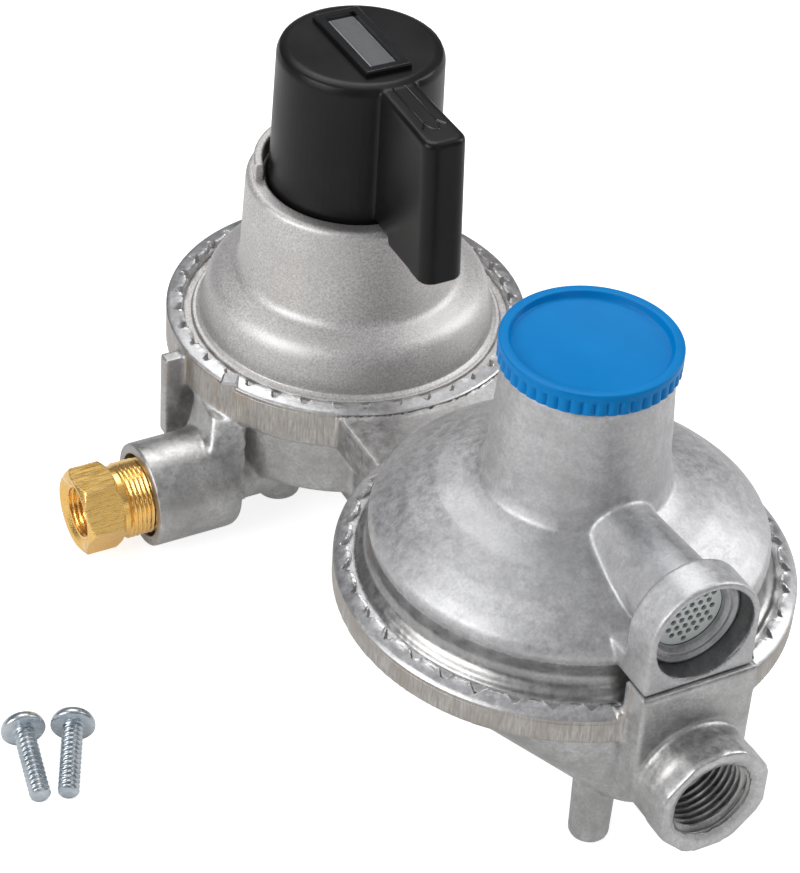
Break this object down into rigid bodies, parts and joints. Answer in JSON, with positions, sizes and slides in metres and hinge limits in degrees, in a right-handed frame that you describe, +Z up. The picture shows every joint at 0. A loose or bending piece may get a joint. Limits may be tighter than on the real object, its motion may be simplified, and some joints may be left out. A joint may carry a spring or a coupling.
{
  "type": "two-stage gas regulator",
  "caption": "Two-stage automatic-changeover propane regulator with selector knob, brass flare inlets, threaded outlet, vent, blue adjuster cap and loose mounting screws.",
  "frame": {"origin": "mouth of the front mounting post's screw hole, on the plane of the two posts' ends, which is also the surface the regulator stands on", "axes": "+Z up along the selector knob's axis; +X towards the right inlet; -Y from the first stage (knob) to the second stage (cap), the way the outlet faces"},
  "size_m": [0.1711, 0.187, 0.1008],
  "materials": {
    "cast_zinc": "as-cast light metal, machined rim",
    "cast_zinc_bonnet": "as-cast light metal",
    "blasted_aluminium": "bead-blasted satin",
    "brass": "machined, lightly brushed",
    "bronze_mesh": "sintered",
    "seat_metal": "machined",
    "spring_steel": "drawn wire",
    "zinc_plated_steel": "zinc plated pressing",
    "membrane_rubber": "fabric-backed rubber sheet",
    "seal_rubber": "moulded",
    "cam_plastic": "natural acetal",
    "knob_plastic": "satin moulded",
    "bezel_plastic": "glossy moulded",
    "window_clear": "clear polycarbonate",
    "flag_plastic": "grey moulded",
    "blue_plastic": "satin moulded",
    "screen_metal": "perforated sheet",
    "screw_zinc": "bright zinc plate"
  },
  "bodies": {
    "regulator_body": {"lower_body": "cast_zinc", "first_stage_bonnet": "blasted_aluminium", "second_stage_bonnet": "cast_zinc_bonnet", "inlet_fitting_left": "brass", "inlet_fitting_right": "brass", "inlet_filter_left": "bronze_mesh", "inlet_filter_right": "bronze_mesh", "inlet_seat_left": "brass", "inlet_seat_right": "brass", "valve_plugs": "brass", "valve_spring_left": "spring_steel", "valve_spring_right": "spring_steel", "first_diaphragm": "membrane_rubber", "first_spring": "spring_steel", "first_spring_seat": "zinc_plated_steel", "second_orifice": "brass", "valve_guide": "cam_plastic", "lever_pin": "spring_steel", "second_diaphragm": "membrane_rubber", "main_spring": "spring_steel", "vent_ring": "cast_zinc_bonnet", "vent_screen": "screen_metal"},
    "selector": {"selector_knob": "knob_plastic", "window_bezel": "bezel_plastic", "indicator_window": "window_clear", "selector_spindle": "cam_plastic"},
    "indicator": {"indicator_flag": "flag_plastic", "indicator_stem": "flag_plastic"},
    "first_plate_body": {"first_plate": "zinc_plated_steel", "spindle_seal": "seal_rubber"},
    "cam_body": {"changeover_cam": "cam_plastic"},
    "left_valve": {"inlet_valve_left": "seat_metal"},
    "right_valve": {"inlet_valve_right": "seat_metal"},
    "stem_body": {"relief_stem": "seat_metal", "relief_nut": "zinc_plated_steel"},
    "plate_body": {"diaphragm_plate": "zinc_plated_steel", "relief_seat": "zinc_plated_steel", "relief_spring": "spring_steel"},
    "lever_body": {"valve_lever": "zinc_plated_steel"},
    "holder_body": {"valve_holder": "zinc_plated_steel", "valve_disc": "seal_rubber"},
    "washer_body": {"spring_washer": "zinc_plated_steel"},
    "plug_body": {"adjusting_plug": "cam_plastic"},
    "cap_carrier": {"cap_seal": "seal_rubber"},
    "cap_body": {"blue_cap": "blue_plastic", "cap_skirt": "blue_plastic"},
    "screw_1_body": {"mounting_screw_1": "screw_zinc"},
    "screw_2_body": {"mounting_screw_2": "screw_zinc"}
  },
  "joints": [
    {"name": "selector_turn", "type": "hinge", "parent": "regulator_body", "child": "selector", "pos_m": [0.01, 0.1255, 0.08], "axis": [0, 0, 1], "range_deg": [-90, 90]},
    {"name": "indicator_slide", "type": "slide", "parent": "selector", "child": "indicator", "axis": [0, 0, 1], "range_m": [-0.003, 0]},
    {"name": "first_plate_slide", "type": "slide", "parent": "regulator_body", "child": "first_plate_body", "axis": [0, 0, 1], "range_m": [0, 0.0012], "stiffness_N_per_m": 4000, "deforming": ["first_spring", "first_diaphragm"]},
    {"name": "cam_slide", "type": "slide", "parent": "selector", "child": "cam_body", "axis": [0, 0, 1], "range_m": [0, 0.0012]},
    {"name": "left_valve_slide", "type": "slide", "parent": "regulator_body", "child": "left_valve", "axis": [0, 0, 1], "range_m": [-0.0006, 0.0006], "deforming": ["valve_spring_left"]},
    {"name": "right_valve_slide", "type": "slide", "parent": "regulator_body", "child": "right_valve", "axis": [0, 0, 1], "range_m": [-0.0006, 0.0006], "deforming": ["valve_spring_right"]},
    {"name": "regulating_slide", "type": "slide", "parent": "regulator_body", "child": "stem_body", "axis": [0, 0, 1], "range_m": [-0.0009, 0.0005], "stiffness_N_per_m": 1500, "deforming": ["main_spring", "second_diaphragm"]},
    {"name": "relief_lift", "type": "slide", "parent": "stem_body", "child": "plate_body", "axis": [0, 0, 1], "range_m": [0, 0.0015], "stiffness_N_per_m": 1500, "deforming": ["relief_spring"]},
    {"name": "lever_turn", "type": "hinge", "parent": "regulator_body", "child": "lever_body", "pos_m": [0.01, 0.024, 0.025], "axis": [1, 0, 0], "range_deg": [-6, 3.5]},
    {"name": "holder_slide", "type": "slide", "parent": "regulator_body", "child": "holder_body", "axis": [0, 1, 0], "range_m": [-0.0006, 0.00034]},
    {"name": "washer_slide", "type": "slide", "parent": "regulator_body", "child": "washer_body", "axis": [0, 0, 1], "range_m": [-0.006, 0.0006]},
    {"name": "plug_turn", "type": "hinge", "parent": "washer_body", "child": "plug_body", "pos_m": [0.01, 0.033, 0.074], "axis": [0, 0, 1], "range_deg": [-1490, 180]},
    {"name": "cap_lift", "type": "slide", "parent": "regulator_body", "child": "cap_carrier", "axis": [0, 0, 1], "range_m": [0, 0.012]},
    {"name": "cap_turn", "type": "hinge", "parent": "cap_carrier", "child": "cap_body", "pos_m": [0.01, 0.033, 0.086], "axis": [0, 0, 1], "range_deg": [-30, 2230]},
    {"name": "screw_1_lift", "type": "slide", "parent": "regulator_body", "child": "screw_1_body", "axis": [0, 0, 1], "range_m": [0, 0.03]},
    {"name": "screw_2_lift", "type": "slide", "parent": "regulator_body", "child": "screw_2_body", "axis": [0, 0, 1], "range_m": [0, 0.03]}
  ],
  "couplings": [
    {"joint": "cam_slide", "follows": "first_plate_slide", "ratio": 1},
    {"joint": "left_valve_slide", "follows": "selector_turn", "m_per_rad": 0.00037561},
    {"joint": "right_valve_slide", "follows": "selector_turn", "m_per_rad": -0.00037561},
    {"joint": "lever_turn", "follows": "regulating_slide", "rad_per_m": 111.11},
    {"joint": "holder_slide", "follows": "regulating_slide", "ratio": 0.6667},
    {"joint": "plug_turn", "follows": "washer_slide", "rad_per_m": 4188.8},
    {"joint": "cap_turn", "follows": "cap_lift", "rad_per_m": 3141.6}
  ]
}
